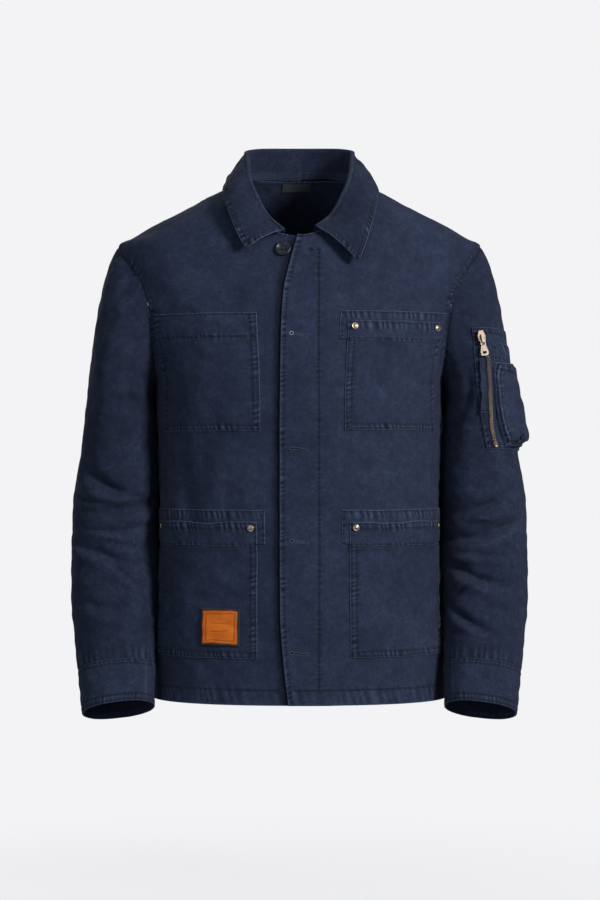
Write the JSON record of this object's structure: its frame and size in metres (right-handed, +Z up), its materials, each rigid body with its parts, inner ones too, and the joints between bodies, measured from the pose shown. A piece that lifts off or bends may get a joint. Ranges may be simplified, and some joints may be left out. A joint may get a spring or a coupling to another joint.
{
  "type": "chore jacket",
  "caption": "Navy cotton-twill work jacket in its worn, hollow form, with a shirt collar, buttoned front, patch pockets, a leather patch and a zip and pen pocket on the left sleeve",
  "frame": {"origin": "on the middle plane at the base of the neck, level with the top of the shoulder seams, where the wearer holds the jacket", "axes": "+Z up, the front faces -Y, +X to the wearer's left"},
  "size_m": [0.601, 0.2768, 0.7555],
  "materials": {
    "navy_twill": "garment-dyed cotton twill, faded at its seams",
    "navy_tape": "woven navy tape",
    "dark_binding": "near-black woven cloth",
    "tan_leather": "tan vegetable-tanned leather, tooled",
    "navy_button": "dark navy resin",
    "aged_brass": "pale aged brass"
  },
  "bodies": {
    "jacket": {"back": "navy_twill", "button_top": "navy_button", "chest_backing_left": "navy_twill", "chest_band_left": "navy_twill", "chest_band_right": "navy_twill", "chest_pocket_left": "navy_twill", "chest_pocket_right": "navy_twill", "chest_rivet_inner": "aged_brass", "chest_rivet_outer": "aged_brass", "collar": "navy_twill", "cuff_left": "navy_twill", "cuff_right": "navy_twill", "front_left": "navy_twill", "front_right": "navy_twill", "hip_backing_left": "navy_twill", "hip_backing_right": "navy_twill", "hip_band_left": "navy_twill", "hip_band_right": "navy_twill", "hip_pocket_left": "navy_twill", "hip_pocket_right": "navy_twill", "hip_rivet_left_inner": "aged_brass", "hip_rivet_left_outer": "aged_brass", "hip_rivet_right_inner": "aged_brass", "hip_rivet_right_outer": "aged_brass", "leather_patch": "tan_leather", "neck_label": "dark_binding", "neck_tape": "navy_tape", "patch_border": "dark_binding", "pen_band": "navy_twill", "pen_pocket": "navy_twill", "sleeve_left": "navy_twill", "sleeve_patch": "navy_twill", "sleeve_right": "navy_twill", "zip_flap": "navy_twill", "zip_slider": "aged_brass", "zip_tape": "navy_tape"},
    "zip_pull": {"zip_pull": "aged_brass"}
  },
  "joints": [
    {"name": "zip_pull_hinge", "type": "hinge", "parent": "jacket", "child": "zip_pull", "pos_m": [0.23523, -0.08656, -0.21149], "axis": [-0.9739, -0.169, -0.1512], "range_deg": [0, 120]}
  ]
}
